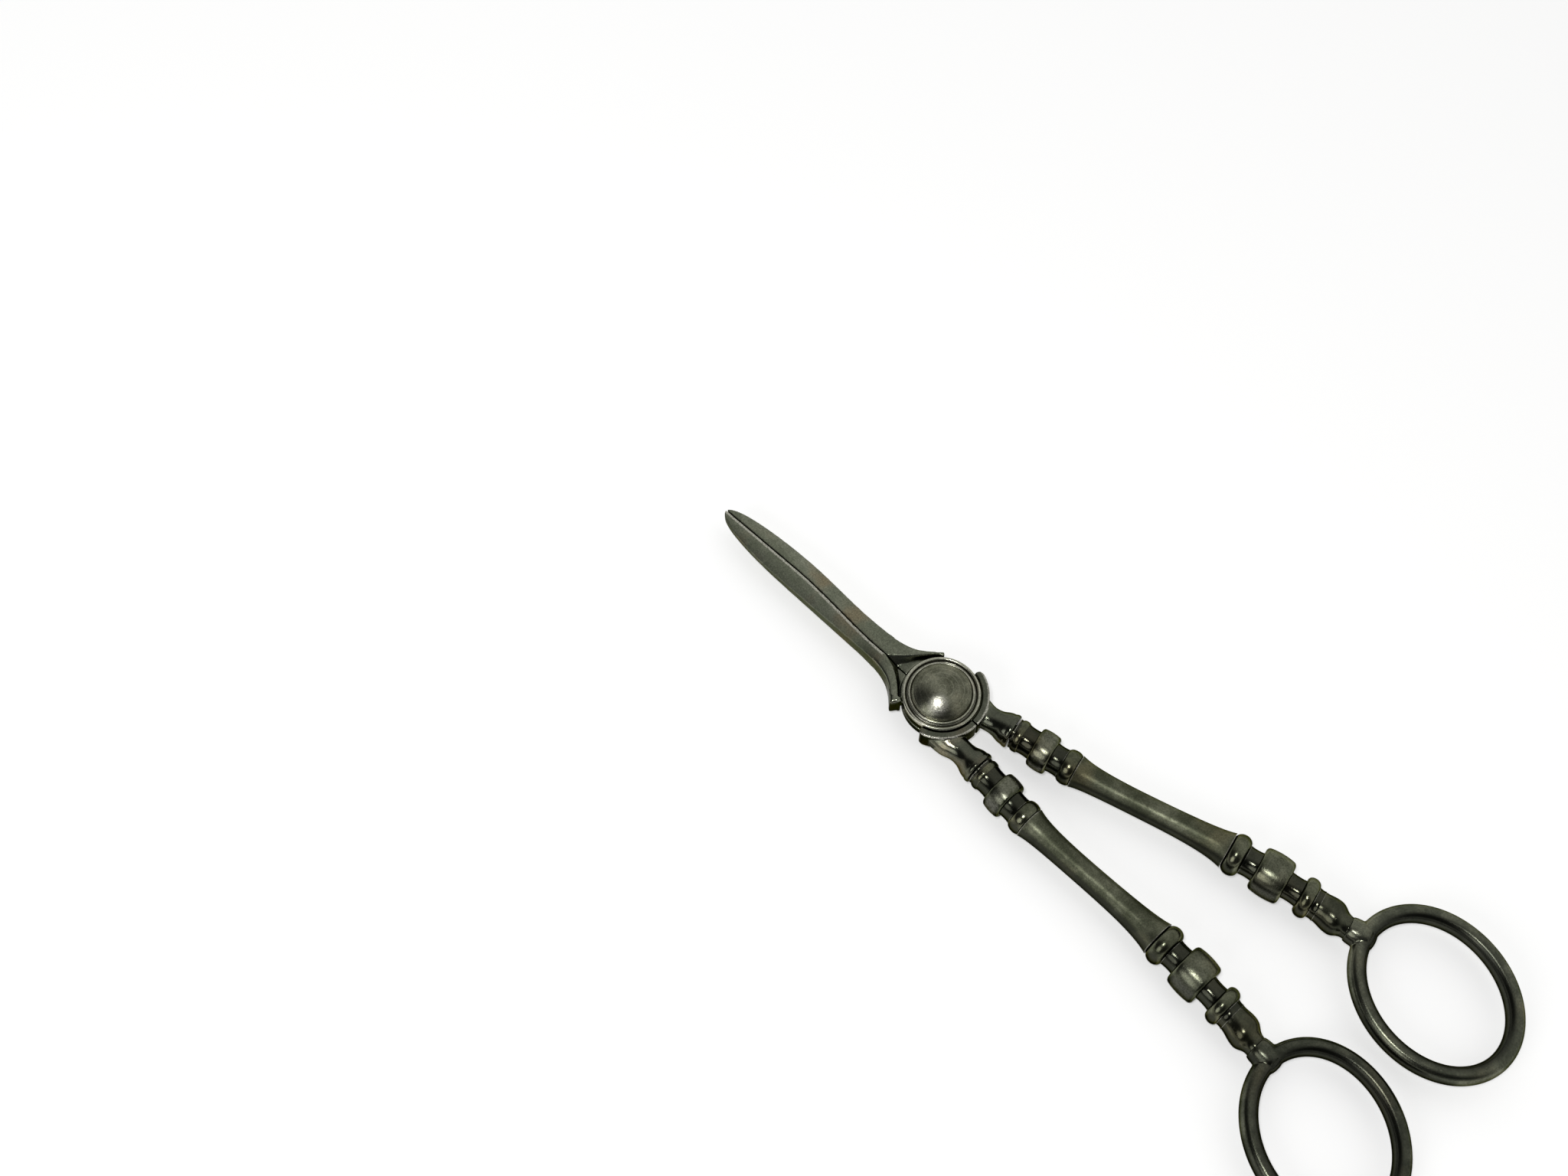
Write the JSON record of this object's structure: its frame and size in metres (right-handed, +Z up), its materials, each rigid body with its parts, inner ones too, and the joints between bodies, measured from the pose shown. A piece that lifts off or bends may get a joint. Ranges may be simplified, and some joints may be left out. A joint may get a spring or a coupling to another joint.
{
  "type": "grape shears",
  "caption": "Tarnished silver-plated grape shears with lapped narrow blades on a domed pivot, turned baluster handles and oval finger rings.",
  "frame": {"origin": "On the pivot's axis, on the flat back of the pivot pin's head, which is on the surface that the shears lie on.", "axes": "+X from the pivot to the finger rings, along the line of the closed blades; +Z up through the pivot, out of the dome; +Y to the right-hand handle's side as seen in the picture."},
  "size_m": [0.184, 0.0658, 0.0105],
  "materials": {
    "worn_steel": "grey-green satin with fine scratches and bright worn edges",
    "blackened_silver": "olive-brown tarnished plate, dark in the grooves",
    "dark_silver": "dark tarnished plate, smooth",
    "polished_silver": "rubbed bright on the raised parts, dark in the grooves"
  },
  "bodies": {
    "front_half": {"front_blade": "worn_steel", "right_handle": "blackened_silver", "right_finger_ring": "dark_silver", "pivot_pin": "worn_steel", "back_washer": "blackened_silver", "stepped_collar": "polished_silver", "dome_nut": "polished_silver"},
    "back_half": {"back_blade": "worn_steel", "left_handle": "blackened_silver", "left_finger_ring": "dark_silver"}
  },
  "joints": [
    {"name": "pivot_hinge", "type": "hinge", "parent": "front_half", "child": "back_half", "pos_m": [0, 0, 0.0047], "axis": [0, 0, -1], "range_deg": [0, 45]}
  ]
}
